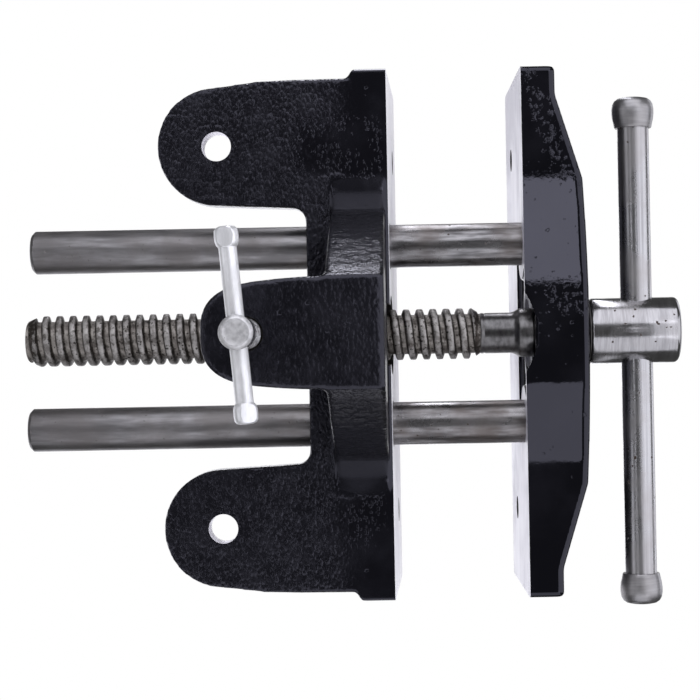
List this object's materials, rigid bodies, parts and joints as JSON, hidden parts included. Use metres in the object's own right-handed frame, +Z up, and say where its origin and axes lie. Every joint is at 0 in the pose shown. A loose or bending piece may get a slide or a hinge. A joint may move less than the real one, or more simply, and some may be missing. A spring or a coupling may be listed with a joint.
{
  "type": "clamp-on bench vise",
  "caption": "Clamp-on woodworker's bench vise: wide flat jaws on guide rods, a lead screw with a sliding bar handle, bench ears and a screw clamp under the bench edge.",
  "frame": {"origin": "midway between the two ear holes, on the underside of the ears, which is the bench top plane", "axes": "+X along the jaw width, +Y from the handle towards the bench, +Z up from the bench top"},
  "size_m": [0.1585, 0.1925, 0.1502],
  "materials": {
    "casting_paint": "glossy black paint over cast iron, jaw faces ground bare",
    "rod_steel": "ground steel with light rust and oil",
    "screw_steel": "rolled thread, oiled",
    "head_steel": "turned bright steel with small pits",
    "washer_steel": "dark oiled steel",
    "pin_steel": "plain steel",
    "nut_steel": "plain turned steel",
    "handle_steel": "drawn bright steel with small rust specks",
    "zinc_steel": "bright zinc plating"
  },
  "bodies": {
    "rear": {"rear_jaw": "casting_paint", "screw_nut": "nut_steel", "nut_pin": "pin_steel"},
    "front": {"front_jaw": "casting_paint", "guide_rod_left": "rod_steel", "guide_rod_right": "rod_steel"},
    "screw": {"lead_screw": "screw_steel", "screw_head": "head_steel", "head_pin": "pin_steel", "thrust_washer": "washer_steel", "screw_collar": "screw_steel", "collar_pin": "pin_steel"},
    "handle": {"handle_bar": "handle_steel", "handle_knob_left": "handle_steel", "handle_knob_right": "handle_steel"},
    "pad": {"clamp_pad": "zinc_steel"},
    "clamp": {"clamp_screw": "zinc_steel"},
    "clamp_tee": {"clamp_bar": "zinc_steel"}
  },
  "joints": [
    {"name": "jaw_slide", "type": "slide", "parent": "rear", "child": "front", "axis": [0, 1, 0], "range_m": [-0.074, 0.0363]},
    {"name": "screw_turn", "type": "hinge", "parent": "front", "child": "screw", "pos_m": [0, -0.1, 0.011], "axis": [0, 1, 0], "range_deg": [-6745, 3309]},
    {"name": "handle_slide", "type": "slide", "parent": "screw", "child": "handle", "axis": [1, 0, 0], "range_m": [-0.062, 0.05]},
    {"name": "clamp_slide", "type": "slide", "parent": "rear", "child": "pad", "axis": [0, 0, 1], "range_m": [-0.0078, 0.0188]},
    {"name": "clamp_turn", "type": "hinge", "parent": "pad", "child": "clamp", "pos_m": [0, -0.0127, -0.04], "axis": [0, 0, 1], "range_deg": [-2248, 5416]},
    {"name": "clamp_bar_slide", "type": "slide", "parent": "clamp", "child": "clamp_tee", "axis": [0.9959, -0.0906, 0], "range_m": [-0.0123, 0.0159]}
  ],
  "couplings": [
    {"joint": "screw_turn", "follows": "jaw_slide", "rad_per_m": 1590.7},
    {"joint": "clamp_turn", "follows": "clamp_slide", "rad_per_m": 5026.5}
  ]
}
